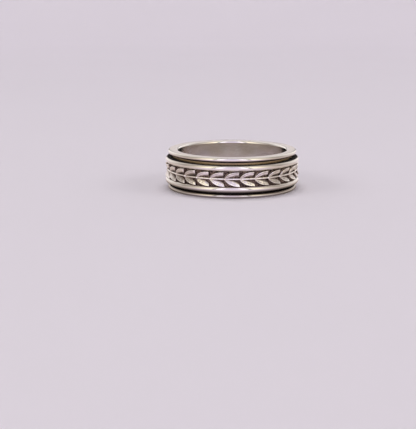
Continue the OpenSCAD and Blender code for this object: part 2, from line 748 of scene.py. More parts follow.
def turned(profile: Sequence[Pair] | Array, turns: int, closed: bool) -> tuple[list[Place], list[Face]]:
    """Turns a profile round the axis.

    Args:
        profile: Its points, as (r, z) pairs. All turns share a point that lies on the axis.
        turns: Steps round the axis.
        closed: Whether the last point joins the first.

    Returns:
        The vertices, and the faces, which look to the right of an upward profile.
    """
    rows = len(profile)
    verts: list[Place] = []
    columns: list[list[int]] = []
    for turn in range(turns):
        angle = TURN * turn / turns
        column = []
        for row, (r, z) in enumerate(profile):
            if r == 0 and turn > 0:
                column.append(columns[0][row])
                continue
            column.append(len(verts))
            verts.append((r * math.cos(angle), r * math.sin(angle), z))
        columns.append(column)
    faces: list[Face] = []
    for here, there in zip(columns, columns[1:] + columns[:1]):
        for row in range(rows if closed else rows - 1):
            up = (row + 1) % rows
            faces.append(tuple(dict.fromkeys((here[row], there[row], there[up], here[up]))))
    return verts, faces


@dataclass(frozen=True)
class Corner:
    """A corner of a band's section.

    Attributes:
        r, z: Its distance from the axis, and its height.
        rounding: The radius that takes off its edge.
    """

    r: float
    z: float
    rounding: float = 0.0


def crown(r: float, z: float, width: float, height: float, steps: int = 18) -> list[Corner]:
    """Works out a rounded crown between two edges, as one shallow corner after another.

    Args:
        r: Radius of the crown's top.
        z: Height of its lower edge.
        width: Width of the crown.
        height: How far it stands out from its edges.
        steps: Steps from edge to edge.

    Returns:
        The crown's points, from the lower edge to the upper.
    """
    bend = ((width / 2) ** 2 + height**2) / (2 * height)
    reach = math.acos((bend - height) / bend)
    turns = [reach * (2 * step / steps - 1) for step in range(steps + 1)]
    middle = z + width / 2
    return [Corner(r - bend + bend * math.cos(angle), middle + bend * math.sin(angle)) for angle in turns]


def rounded(corners: Sequence[Corner], steps: int = 5, guard: float = 0.02 * MM) -> Array:
    """Rounds a closed section's corners, and adds points beside each rounding so that flats shade flat.

    Args:
        corners: The section's corners, anticlockwise with the radius to the right.
        steps: Steps in each rounding.
        guard: Distance from a rounding to the extra point on the flat beside it.

    Returns:
        The section's points, one (r, z) pair to a row.
    """
    points: list[Array] = []
    places = [np.array([corner.r, corner.z]) for corner in corners]
    for index, (corner, here) in enumerate(zip(corners, places)):
        if corner.rounding == 0:
            points.append(here)
            continue
        before = places[index - 1] - here
        after = places[(index + 1) % len(places)] - here
        to_before = before / np.linalg.norm(before)
        to_after = after / np.linalg.norm(after)
        half = math.acos(np.clip(to_before @ to_after, -1, 1)) / 2
        back = corner.rounding / math.tan(half)
        middle_way = (to_before + to_after) / np.linalg.norm(to_before + to_after)
        middle = here + middle_way * (corner.rounding / math.sin(half))
        start, end = here + to_before * back, here + to_after * back
        first, last = start - middle, end - middle
        sweep = math.acos(np.clip(first @ last / corner.rounding**2, -1, 1))
        if np.linalg.norm(before) > back + 3 * guard:
            points.append(start + to_before * guard)
        for share in np.linspace(0, 1, steps + 1):
            arm = first * math.sin((1 - share) * sweep) + last * math.sin(share * sweep)
            points.append(middle + arm / math.sin(sweep))
        if np.linalg.norm(after) > back + 3 * guard:
            points.append(end + to_after * guard)
    return np.array(points)


@dataclass(frozen=True)
class Handwork:
    """The slow unevenness that filing, polishing and wear leave on a turned band.

    Attributes:
        seed: Seed of its waves and knocks.
        depth, waves: Deepest that the waves go, and how often each one rises and falls round the band.
        wave_lean: The most that a wave runs ahead from edge to edge, in radians.
        knocks: Number of small shallow dents.
        knock_depth, knock_depths: Greatest depth of a dent, and the least and greatest share of it.
        knock_r, knock_sizes: Middling radius of a dent, and the least and greatest share of it.
        reach_r: Radius at which places round the band are measured.
        skin: Depth over which the unevenness dies away towards the band's true middle.
    """

    seed: int
    depth: float = 0.012 * MM
    waves: tuple[int, ...] = (2, 3, 5, 8, 13, 21)
    wave_lean: float = 2.0
    knocks: int = 26
    knock_depth: float = 0.010 * MM
    knock_depths: Pair = (0.3, 1.0)
    knock_r: float = 0.26 * MM
    knock_sizes: Pair = (0.6, 1.3)
    reach_r: float = 11 * MM
    skin: float = 0.2 * MM

    def hollow(self, angle: Array, z: Array, height: float) -> Array:
        """Works out how far the surface lies below its true size.

        Args:
            angle: Angle of each point round the axis.
            z: Height of each point.
            height: Height of the whole band.

        Returns:
            The depth at each point, never negative.
        """
        draw = random.Random(self.seed)
        waves = np.zeros_like(angle)
        total = 0.0
        for count in self.waves:
            size = 1 / math.sqrt(count)
            lean = draw.uniform(-self.wave_lean, self.wave_lean) / height
            waves += size * np.cos(count * angle + draw.uniform(0, TURN) + lean * z)
            total += size
        depth = self.depth * (0.5 + 0.5 * waves / total)
        for _ in range(self.knocks):
            at, up = draw.uniform(-math.pi, math.pi), draw.uniform(0, height)
            size = self.knock_r * draw.uniform(*self.knock_sizes)
            across = (np.mod(angle - at + math.pi, TURN) - math.pi) * self.reach_r
            spread = (across**2 + (z - up) ** 2) / size**2
            depth = depth + self.knock_depth * draw.uniform(*self.knock_depths) * np.exp(-spread)
        return depth


@dataclass(kw_only=True)
class Band:
    """A turned band: a plain middle, with a rounded side along each edge that stands out from it.

    Attributes:
        bottom, top: Heights of the band's edges.
        bore_r, bore_round: Radius of its bore, and rounding of the bore's edges.
        middle_r: Radius of its middle.
        side_r, side_w, side_crown: Radius and width of the sides, and height of the crown on each.
        fillet: Rounding where the middle meets a side.
        handwork: The unevenness of its outer faces.
        turns: Steps round the axis.
    """

    bottom: float
    top: float
    bore_r: float
    middle_r: float
    side_r: float
    side_w: float
    side_crown: float
    bore_round: float
    fillet: float
    handwork: Handwork
    turns: int = 448

    def section(self) -> Array:
        """Works out the band's section, anticlockwise from the bore's lower edge.

        Returns:
            The section's points, one (r, z) pair to a row.
        """
        inner_low, inner_high = self.bottom + self.side_w, self.top - self.side_w
        corners = [
            Corner(self.bore_r, self.bottom, self.bore_round),
            *crown(self.side_r, self.bottom, self.side_w, self.side_crown),
            Corner(self.middle_r, inner_low, self.fillet),
            Corner(self.middle_r, inner_high, self.fillet),
            *crown(self.side_r, inner_high, self.side_w, self.side_crown),
            Corner(self.bore_r, self.top, self.bore_round),
        ]
        return rounded(corners)

    def lathe(self, name: str, material: Material) -> Piece:
        """Turns the section round the axis. Only what stands out from the middle gets the handwork.

        Args:
            name: The piece's name.
            material: Its finish.

        Returns:
            The piece.
        """
        section = self.section()
        verts, faces = turned(section, self.turns, closed=True)
        x, y, z = np.array(verts).T
        r, angle = np.hypot(x, y), np.arctan2(y, x)
        outer = np.clip((r - self.middle_r) / self.handwork.skin, 0, 1)
        r = r - self.handwork.hollow(angle, z, float(np.ptp(section[:, 1]))) * outer
        verts = np.stack([r * np.cos(angle), r * np.sin(angle), z], axis=1)
        return new_piece(name, verts, faces, material)


@dataclass(kw_only=True)
class InnerBand(Band):
    """The band that is worn: a plain wall with a rounded rim at each edge."""

    bottom: float = 0.0
    middle_r: float = 10.0 * MM
    side_w: float = 0.7 * MM
    side_crown: float = 0.28 * MM
    bore_round: float = 0.35 * MM
    fillet: float = 0.07 * MM
    handwork: Handwork = Handwork(7)

    def build(self) -> Piece:
        """Builds the band, dresses it and puts it on its body.

        Returns:
            The piece.
        """
        low, high = self.bottom + self.side_w, self.top - self.side_w
        finish = BandSilver(wall_r=self.middle_r, rim_r=self.side_r, low=low, high=high)
        piece = self.lathe("inner_band", finish.material())
        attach(piece, Body.BASE.value)
        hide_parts("base_band")
        return piece


def ramp(share: Array, none: float | Array, full: float | Array) -> Array:
    """Rises evenly from 0 where a share is at none to 1 where it is at full."""
    return np.clip((share - none) / (full - none), 0, 1)


@dataclass(frozen=True)
class LeafForm:
    """The form of one leaf.

    An edge is a curve of four points. A point holds a share of the pair's length, along the stem from the
    knuckle, and a share of half the strip's width, out from the stem's centre line. Places across the leaf
    go from 0 at the outer edge to 1 at the inner, and places along it from 0 at the root to 1.

    Attributes:
        pair_len, half_strip: Length of a leaf pair on the ground, and half the width of its strip.
        rows, columns: Points along the leaf, and across it.
        outer: The edge that faces the rail, from root to tip.
        inner: The edge that faces the stem, from root to heel, the inner corner of the blunt end.
        notch: How far the blunt end is hollowed.
        root_h, crest_h: Height of the crest at the root, and near the tip.
        crest_full, form_full: Places along the leaf where the crest is full, and where the slopes are.
        outer_h, inner_h: Heights of the outer and inner edge, as shares of the crest's.
        face_fall: How far the face falls from the crest to the brink, as a share of the crest's height.
        slopes: Powers by which the outer and the inner slope grow steeper.
        border, ridge, brink: Places across the leaf, at the root and at the blunt end, where the outer
            slope has fallen, where the crest is, and where the slope down to the stem begins.
        rib, rib_w: Depth of the midrib, the groove along the leaf's middle, and half its width.
        rib_ends: Places along the leaf where the midrib is full, begins to fade and ends.
        hollow: How far the face between crest and inner edge is hollowed.
        edge_round, root_edge: Rounding of the edges, and how far the root counts as inside its edge.
        sink: How far the leaf's foot goes under the ground.
        foot_rise: Tarnish height at the foot, below 0 so that the walls are black almost to the top.
        root_rise: Tarnish height at the root's crest, below 1 so that the root is duller than the tip.
        root_dull: Place along the leaf where that ends.
        outer_dull, outer_dull_from: How much duller the outer slope's foot is, and where that starts.
        slope_dull, slope_dull_full: How much duller the inner slope is, and where that is full.
    """

    pair_len: float
    half_strip: float
    rows: int = 34
    columns: int = 30
    outer: Edge = ((-0.04, 0.12), (0.02, 0.76), (0.26, 1.02), (0.95, 0.99))
    inner: Edge = ((0.05, 0.02), (0.34, 0.13), (0.58, 0.31), (0.93, 0.29))
    notch: float = 0.04 * MM
    root_h: float = 0.22 * MM
    crest_h: float = 0.51 * MM
    crest_full: float = 0.8
    form_full: float = 1 / 3
    outer_h: float = 0.24
    inner_h: float = 0.22
    face_fall: float = 0.30
    slopes: Pair = (1.5, 1.2)
    border: Pair = (0.26, 0.05)
    ridge: Pair = (0.38, 0.15)
    brink: Pair = (0.76, 0.64)
    rib: float = 0.018 * MM
    rib_w: float = 0.04 * MM
    rib_ends: tuple[float, float, float] = (0.25, 0.70, 0.95)
    hollow: float = 0.02 * MM
    edge_round: float = 0.07 * MM
    root_edge: float = 0.02 * MM
    sink: float = 0.12 * MM
    foot_rise: float = -1.6
    root_rise: float = 0.60
    root_dull: float = 0.5
    outer_dull: float = 0.85
    outer_dull_from: float = 4 / 9
    slope_dull: float = 0.62
    slope_dull_full: float = 0.625

    def varied(self, draw: random.Random) -> LeafForm:
        """Makes a leaf like this one with the small differences that a cast pattern has.

        Args:
            draw: The source of chance.

        Returns:
            The new form.
        """

        def about(value: float, share: float) -> float:
            """Moves a value by chance, by up to a share of itself."""
            return value * (1 + draw.uniform(-share, share))

        def nudged(edge: Edge) -> Edge:
            """Moves an edge's points a little."""
            return tuple((x + draw.uniform(-0.012, 0.012), about(y, 0.045)) for x, y in edge)

        return replace(
            self,
            outer=nudged(self.outer),
            inner=nudged(self.inner),
            notch=about(self.notch, 0.8),
            root_h=about(self.root_h, 0.12),
            crest_h=about(self.crest_h, 0.05) - 0.01 * MM,
            outer_h=about(self.outer_h, 0.2),
            inner_h=about(self.inner_h, 0.25),
            ridge=(about(self.ridge[0], 0.1), about(self.ridge[1], 0.2)),
            brink=(self.brink[0], about(self.brink[1], 0.08)),
            rib=about(self.rib, 0.9),
        )

    def edge_points(self, edge: Edge, share: Array) -> Array:
        """Works out points of an edge.

        Args:
            edge: The edge's four points.
            share: A column of places along it, from 0 at the root to 1 at the blunt end.

        Returns:
            The points in metres, one (along, across) pair to a row.
        """
        root, first, second, end = (np.array(point) * (self.pair_len, self.half_strip) for point in edge)
        rest = 1 - share
        near = rest**3 * root + 3 * rest**2 * share * first
        return near + 3 * rest * share**2 * second + share**3 * end

    def surface(self) -> tuple[Array, Array, Array, Array, Array]:
        """Works out the leaf's top.

        Returns:
            Places along the stem, across it and above the ground, how high each point lies on its leaf and
            how deep in the midrib, each a grid of rows by columns.
        """
        even = np.linspace(0, 1, self.rows)[:, None]
        along = 0.5 * even + 0.25 * (1 - np.cos(np.pi * even))
        across = (1 - np.cos(np.pi * np.linspace(0, 1, self.columns))) / 2
        outer, inner = self.edge_points(self.outer, along), self.edge_points(self.inner, along)
        share = across[None, :, None]
        place = outer[:, None, :] * (1 - share) + inner[:, None, :] * share
        place[:, :, 0] -= self.notch * (4 * across * (1 - across)) * along**4
        width = np.linalg.norm(outer - inner, axis=1)[:, None]
        grown = np.sin(np.pi / 2 * ramp(along, 0, self.crest_full))
        crest = self.root_h + (self.crest_h - self.root_h) * grown
        places = (self.border, self.ridge, self.brink)
        border, ridge, brink = (root + (end - root) * along for root, end in places)
        outward = ramp(across, ridge, border)
        face = ramp(across, ridge, brink)
        inward = ramp(across, brink, 1)
        steep_outer, steep_inner = self.slopes
        fall = (1 - self.outer_h) * outward**steep_outer + self.face_fall * face
        fall += (1 - self.face_fall - self.inner_h) * inward**steep_inner
        formed = ramp(along, 0, self.form_full)
        top = crest * (1 - fall * formed) - self.hollow * np.sin(np.pi * face) * formed
        rib_full, rib_fades, rib_end = self.rib_ends
        crease = np.exp(-(((across - (ridge + brink) / 2) * width / self.rib_w) ** 2))
        crease *= ramp(along, 0, rib_full) * ramp(along, rib_end, rib_fades)
        top -= self.rib * crease
        inset = np.minimum(width * across, width * (1 - across))
        inset = np.minimum(inset, self.pair_len * self.outer[-1][0] * (1 - along))
        inset = np.minimum(inset, self.pair_len * along + self.root_edge)
        top -= self.edge_round * (1 - np.sqrt(1 - (1 - ramp(inset, 0, self.edge_round)) ** 2))
        rise = top / crest * (1 - self.outer_dull * ramp(outward, self.outer_dull_from, 1))
        rise *= self.root_rise + (1 - self.root_rise) * ramp(along, 0, self.root_dull)
        rise *= 1 - self.slope_dull * ramp(inward, 0, self.slope_dull_full)
        return place[:, :, 0], place[:, :, 1], top, rise, crease

    def build(self, name: str, row: Row, ground_r: float) -> Piece:
        """Builds the leaf, bent to the ground's curve, with its root at the object's origin.

        Args:
            name: The object's name.
            row: The row that the leaf stands in.
            ground_r: Radius of the ground.

        Returns:
            The leaf: X points out from the axis, Y along the stem and Z along the axis.
        """
        along, across, height, rise, crease = self.surface()
        grid = np.arange(height.size).reshape(height.shape)
        rim = np.concatenate([grid[0], grid[1:, -1], grid[-1, -2::-1], grid[-2:0:-1, 0]]).tolist()
        foot = list(range(height.size, height.size + len(rim)))
        angle = np.append(along, along.flat[rim]) / ground_r
        up = np.append(across, across.flat[rim]) * row.value
        r = ground_r + np.append(height, np.full(len(rim), -self.sink))
        verts = np.stack([r * np.cos(angle) - ground_r, r * np.sin(angle), up], axis=1)
        corners = (grid[:-1, :-1], grid[1:, :-1], grid[1:, 1:], grid[:-1, 1:])
        faces: list[Face] = list(zip(*(corner.ravel().tolist() for corner in corners)))
        faces += zip(rim, rim[1:] + rim[:1], foot[1:] + foot[:1], foot)
        leaf = new_piece(name, verts, [*faces, tuple(foot)])
        close_shell(leaf.data)
        marks = ((BranchSilver.rise, rise, self.foot_rise), (BranchSilver.crease, crease, 0.0))
        for label, values, low in marks:
            layer = leaf.data.attributes.new(label, "FLOAT", "POINT")
            layer.data.foreach_set("value", np.append(values, np.full(len(rim), low)))
        return leaf


def close_shell(mesh: bpy.types.Mesh) -> None:
    """Points a closed shell's faces outwards and makes the edges of its hidden foot sharp.

    Args:
        mesh: The shell, whose foot is its face with the most corners.
    """
    shell = bmesh.new()
    shell.from_mesh(mesh)
    bmesh.ops.recalc_face_normals(shell, faces=shell.faces)
    foot = max(shell.faces, key=lambda face: len(face.verts))
    for edge in foot.edges:
        edge.smooth = False
    shell.to_mesh(mesh)
    shell.free()


class GrowthSheet(NodeSheet):
    """A Geometry Nodes tree with named inputs and one geometry output.

    Attributes:
        SOCKETS: The socket type of each type of input.
        CHANCES: The data type of each type of random value, and the mark that its sockets bear.
    """

    SOCKETS = {
        int: "NodeSocketInt",
        float: "NodeSocketFloat",
        Material: "NodeSocketMaterial",
        bpy.types.Collection: "NodeSocketCollection",
    }
    CHANCES = {int: ("INT", "_002"), float: ("FLOAT", "_001"), tuple: ("FLOAT_VECTOR", "")}

    def __init__(self, name: str) -> None:
        """Makes a tree without inputs.

        Args:
            name: The tree's name.
        """
        super().__init__(bpy.data.node_groups.new(name, "GeometryNodeTree"))
        self.tree.is_modifier = True
        self.tree.interface.new_socket(name="Geometry", in_out="OUTPUT", socket_type="NodeSocketGeometry")
        self.inlet = self.node("NodeGroupInput")
        self.outlet = self.node("NodeGroupOutput")
        self.given: dict[str, Any] = {}

    def ask(self, name: str, value: Any) -> Any:
        """Adds a named input.

        Args:
            name: The input's name.
            value: What the modifier sets it to, which also gives its type.

        Returns:
            A wire for a number, otherwise the socket.
        """
        kind = self.SOCKETS[type(value)]
        socket = self.tree.interface.new_socket(name=name, in_out="INPUT", socket_type=kind)
        self.given[socket.identifier] = value
        return self.wired(self.find(self.inlet.outputs, socket.identifier))

    def chance(self, low: Any, high: Any, seed: Wire) -> Wire | Socket:
        """Adds a random value for each instance.

        Args:
            low: The least value: a whole number, a number or a vector.
            high: The greatest value, of the same type.
            seed: The seed.

        Returns:
            A wire for a number, otherwise the socket.
        """
        kind, mark = self.CHANCES[type(low)]
        sockets = {f"Min{mark}": low, f"Max{mark}": high, "Seed": seed}
        return self.out("FunctionNodeRandomValue", sockets, f"Value{mark}", data_type=kind)

    def grow(self, name: str, geometry: Socket) -> Piece:
        """Runs the tree and keeps its result as a plain mesh.

        Args:
            name: The piece's name.
            geometry: The finished geometry.

        Returns:
            The piece.
        """
        self.tree.links.new(geometry, self.outlet.inputs[0])
        seedbed = new_piece(f"{name}_seedbed", [], [])
        modifier = seedbed.modifiers.new("growth", "NODES")
        modifier.node_group = self.tree
        for identifier, value in self.given.items():
            modifier[identifier] = value
        depsgraph = bpy.context.evaluated_depsgraph_get()
        mesh = bpy.data.meshes.new_from_object(seedbed.evaluated_get(depsgraph), depsgraph=depsgraph)
        mesh.name = name
        bpy.data.objects.remove(seedbed)
        piece = bpy.data.objects.new(name, mesh)
        bpy.context.scene.collection.objects.link(piece)
        return piece


@dataclass
class LaurelBranch:
    """The cast branch round the band: a stem, its knuckles, and a row of leaves on each side.

    Attributes:
        ground_r, half_strip: Radius of the ground that it lies on, and half the width of its strip.
        level: Height of the stem's centre line.
        pairs, phase: Number of leaf pairs, and angle from +X to the first knuckle.
        stem_w, stem_h: Thickness of the stem, and its height above the ground.
        stem_steps: Steps round the stem's thickness, and steps along it from knuckle to knuckle.
        swell_cells, swell: Noise of the stem's thickness, its least share and what a full noise adds.
        knuckle_r, knuckle_h: Radius of a knuckle, and its height above the ground.
        knuckle_sizes: Least and greatest size of a knuckle along its axes, as shares.
        variants: Number of different leaves in each row.
        leaf_lean: The most that a leaf leans round each axis, in radians.
        leaf_sizes: Least and greatest size of a leaf, as shares.
        lump_cells, lump_middle: Noise of the metal's unevenness, and the value at which the metal stays.
        lump_h: How far a full noise moves it.
        seed: Seed of all that is left to chance.
    """

    ground_r: float
    level: float
    half_strip: float
    pairs: int = 28
    phase: float = math.radians(6.8)
    stem_w: float = 0.32 * MM
    stem_h: float = 0.23 * MM
    stem_steps: int = 14
    swell_cells: float = 900.0
    swell: Pair = (0.75, 0.5)
    knuckle_r: float = 0.24 * MM
    knuckle_h: float = 0.31 * MM
    knuckle_sizes: tuple[Place, Place] = ((1.15, 0.85, 0.80), (1.35, 1.10, 0.98))
    variants: int = 5
    leaf_lean: Place = (0.016, 0.016, 0.026)
    leaf_sizes: Pair = (0.985, 1.01)
    lump_cells: float = 1500.0
    lump_middle: float = 0.60
    lump_h: float = 0.12 * MM
    seed: int = 11

    def leaves(self, row: Row, draw: random.Random) -> bpy.types.Collection:
        """Makes a row's different leaves. The lower leaves are more pointed than the upper.

        Args:
            row: The row.
            draw: The source of chance.

        Returns:
            A collection that holds the leaves.
        """
        pattern = LeafForm(TURN * self.ground_r / self.pairs, self.half_strip)
        if row is Row.LOWER:
            pattern = replace(
                pattern,
                outer=((-0.04, 0.12), (0.03, 0.72), (0.30, 1.05), (1.02, 0.98)),
                inner=((0.05, 0.02), (0.36, 0.14), (0.72, 0.13), (0.96, 0.52)),
                ridge=(0.38, 0.17),
            )
        label = row.name.lower()
        holder = bpy.data.collections.new(f"{label}_leaves")
        bpy.context.scene.collection.children.link(holder)
        for index in range(self.variants):
            leaf = pattern.varied(draw).build(f"{label}_leaf_{index}", row, self.ground_r)
            holder.objects.link(leaf)
            bpy.context.scene.collection.objects.unlink(leaf)
        return holder

    def build(self, finish: Material) -> Piece:
        """Grows the branch, and removes the leaves that it was grown from.

        Args:
            finish: Its finish.

        Returns:
            The branch as a plain mesh.
        """
        draw = random.Random(self.seed)
        holders = {row: self.leaves(row, draw) for row in Row}
        sheet = BranchSheet(self)
        rows = [sheet.leaf_row(row, holders[row]) for row in (Row.LOWER, Row.UPPER)]
        standing = (sheet.marked(sheet.knuckles(), self.knuckle_h), sheet.marked(sheet.stem(), self.stem_h))
        piece = sheet.grow("laurel_branch", sheet.cast((*rows, *standing), finish))
        for holder in holders.values():
            for leaf in list(holder.objects):
                bpy.data.objects.remove(leaf)
            bpy.data.collections.remove(holder)
        return piece


class BranchSheet(GrowthSheet):
    """The tree that grows the branch.

    Attributes:
        ROW_SEEDS: What each row adds to the seed.
        KNUCKLE_SEED: What the knuckles add to it.
    """

    ROW_SEEDS = {Row.LOWER: 1, Row.UPPER: 5}
    KNUCKLE_SEED = 20

    def __init__(self, form: LaurelBranch) -> None:
        """Makes the tree and the inputs for the branch's sizes.

        Args:
            form: The branch.
        """
        super().__init__("laurel_branch")
        self.form = form
        self.pairs = self.ask("Pairs", form.pairs)
        self.ground = self.ask("Ground radius", form.ground_r)
        self.level = self.ask("Stem level", form.level)
        self.phase = self.ask("Phase", form.phase)
        self.stem_w = self.ask("Stem thickness", form.stem_w)
        self.stem_out = self.ask("Stem centre", form.stem_h - form.stem_w / 2)
        self.knuckle_r = self.ask("Knuckle radius", form.knuckle_r)
        self.knuckle_out = self.ask("Knuckle centre", form.knuckle_h - form.knuckle_r)
        self.seed = self.ask("Seed", form.seed)
        self.where = self.out("GeometryNodeInputPosition")
        sockets = {0: self.where, 1: (1.0, 1.0, 0.0)}
        self.from_axis = self.out("ShaderNodeVectorMath", sockets, operation="MULTIPLY")

    def stations(self, out: Wire | float) -> dict[str, Any]:
        """Places one point at each knuckle.

        Args:
            out: How far the points stand out from the ground.

        Returns:
            The points and their turns, as inputs of the node that puts instances on them.
        """
        index = self.out("GeometryNodeInputIndex")
        angle = index * TURN / self.pairs + self.phase
        reach = self.ground + out
        place = self.vector(angle.math("COSINE") * reach, angle.math("SINE") * reach, self.level)
        points = self.out("GeometryNodePoints", {"Count": self.pairs, "Position": place})
        turn = self.out("FunctionNodeEulerToRotation", {0: self.vector(0.0, 0.0, angle)})
        return {"Points": points, "Rotation": turn}

    def leaf_row(self, row: Row, holder: bpy.types.Collection) -> Socket:
        """Puts a leaf, picked by chance and a little askew, at each knuckle.

        Args:
            row: The row.
            holder: The collection that holds its leaves.

        Returns:
            The row's geometry.
        """
        form, seed = self.form, self.seed + self.ROW_SEEDS[row]
        given = self.ask(f"{row.name.title()} leaves", holder)
        sockets = {"Collection": given, "Separate Children": True, "Reset Children": True}
        kinds = self.out("GeometryNodeCollectionInfo", sockets, transform_space="ORIGINAL")
        pick = self.chance(0, form.variants - 1, seed)
        picked = {"Instance": kinds, "Pick Instance": True, "Instance Index": pick}
        placed = self.out("GeometryNodeInstanceOnPoints", {**self.stations(0.0), **picked})
        lean = self.chance(tuple(-most for most in form.leaf_lean), form.leaf_lean, seed + 1)
        sockets = {"Instances": placed, "Rotation": lean, "Local Space": True}
        askew = self.out("GeometryNodeRotateInstances", sockets)
        size = self.chance(*form.leaf_sizes, seed + 2)
        sockets = {"Instances": askew, "Scale": size, "Local Space": True}
        return self.realised(self.out("GeometryNodeScaleInstances", sockets))

    def knuckles(self) -> Socket:
        """Puts a ball at each knuckle.

        Returns:
            The knuckles' geometry.
        """
        ball = self.out("GeometryNodeMeshIcoSphere", {"Radius": self.knuckle_r, "Subdivisions": 3})
        size = self.chance(*self.form.knuckle_sizes, self.seed + self.KNUCKLE_SEED)
        sockets = {**self.stations(self.knuckle_out), "Instance": ball, "Scale": size}
        return self.out("GeometryNodeInstanceOnPoints", sockets)

    def stem(self) -> Socket:
        """Draws the stem round the band, thicker and thinner by turns.

        Returns:
            The stem's geometry.
        """
        steps = self.form.stem_steps
        sockets = {"Resolution": self.pairs * steps, "Radius": self.ground + self.stem_out}
        ring = self.out("GeometryNodeCurvePrimitiveCircle", sockets)
        sockets = {"Geometry": ring, "Translation": self.vector(0.0, 0.0, self.level)}
        ring = self.out("GeometryNodeTransform", sockets)
        least, more = self.form.swell
        swell = self.out("ShaderNodeTexNoise", {"Vector": self.where, "Scale": self.form.swell_cells})
        ring = self.out("GeometryNodeSetCurveRadius", {"Curve": ring, "Radius": swell * more + least})
        wire = self.out("GeometryNodeCurvePrimitiveCircle", {"Resolution": steps, "Radius": self.stem_w / 2})
        return self.out("GeometryNodeCurveToMesh", {"Curve": ring, "Profile Curve": wire, "Scale": 1.0})

    def realised(self, geometry: Socket) -> Socket:
        """Turns instances into geometry of their own."""
        return self.out("GeometryNodeRealizeInstances", {"Geometry": geometry})

    def marked(self, part: Socket, top: float) -> Socket:
        """Marks each point of a part with how high it lies.

        Args:
            part: The part's geometry.
            top: The height above the ground that counts as 1.

        Returns:
            The marked geometry.
        """
        rise = (self.length(self.from_axis) - self.ground) / top
        sockets = {"Geometry": self.realised(part), "Name": BranchSilver.rise, "Value": rise}
        return self.out("GeometryNodeStoreNamedAttribute", sockets, data_type="FLOAT")

    def cast(self, parts: Sequence[Socket], finish: Material) -> Socket:
        """Joins the parts, moves their points in and out a little as a casting's are, and dresses them.

        Args:
            parts: The geometry of each part.
            finish: The finish.

        Returns:
            The finished geometry.
        """
        joined = self.node("GeometryNodeJoinGeometry")
        for part in parts:
            self.tree.links.new(part, joined.inputs[0])
        sockets = {"Vector": self.where, "Scale": self.form.lump_cells, "Detail": 0.5}
        move = (self.out("ShaderNodeTexNoise", sockets) - self.form.lump_middle) * self.form.lump_h
        outwards = self.out("ShaderNodeVectorMath", {0: self.from_axis}, operation="NORMALIZE")
        push = self.out("ShaderNodeVectorMath", {0: outwards, "Scale": move}, operation="SCALE")
        sockets = {"Geometry": self.realised(joined.outputs[0]), "Offset": push}
        solid = self.out("GeometryNodeSetPosition", sockets)
        solid = self.out("GeometryNodeSetShadeSmooth", {"Geometry": solid, "Shade Smooth": True})
        sockets = {"Geometry": solid, "Material": self.ask("Finish", finish)}
        return self.out("GeometryNodeSetMaterial", sockets)


@dataclass(kw_only=True)
class OuterBand(Band):
    """The free band: two plain rails, and a laurel branch on the ground between them."""

    bore_r: float = 10.08 * MM
    middle_r: float = 10.7 * MM
    side_r: float = 11.2 * MM
    side_w: float = 0.9 * MM
    side_crown: float = 0.34 * MM
    bore_round: float = 0.08 * MM
    fillet: float = 0.05 * MM
    handwork: Handwork = Handwork(23)

    def build(self) -> list[Piece]:
        """Builds the band's pieces, dresses them and puts them on their body.

        Returns:
            The rails and the branch.
        """
        finish = RailSilver(low=self.bottom, high=self.top, rail_r=self.side_r)
        half_strip = (self.top - self.bottom) / 2 - self.side_w
        branch = LaurelBranch(self.middle_r, (self.bottom + self.top) / 2, half_strip)
        pieces = [self.lathe("outer_band", finish.material()), branch.build(BranchSilver().material())]
        for piece in pieces:
            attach(piece, Body.SPINNER.value)
            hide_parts("spinner_band")
        return pieces


@dataclass(frozen=True)
class Lamp:
    """A round, soft lamp that lights the surface, and that the silver doesn't mirror.

    Attributes:
        name, place: Its name, and where it hangs.
        width, power, colour: Its width, its power in watts and the colour of its light.
    """

    name: str
    place: Place
    width: float
    power: float
    colour: Colour

    def hang(self, target: Vector) -> None:
        """Hangs the lamp.

        Args:
            target: The point that it is aimed at.
        """
        data = bpy.data.lights.new(self.name, "AREA")
        data.shape = "DISK"
        data.size = self.width
        data.energy = self.power
        data.color = self.colour
        lamp = bpy.data.objects.new(self.name, data)
        lamp.location = self.place
        lamp.rotation_euler = (target - Vector(self.place)).to_track_quat("-Z", "Y").to_euler()
        lamp.visible_camera = False
        lamp.visible_glossy = False
        bpy.context.scene.collection.objects.link(lamp)


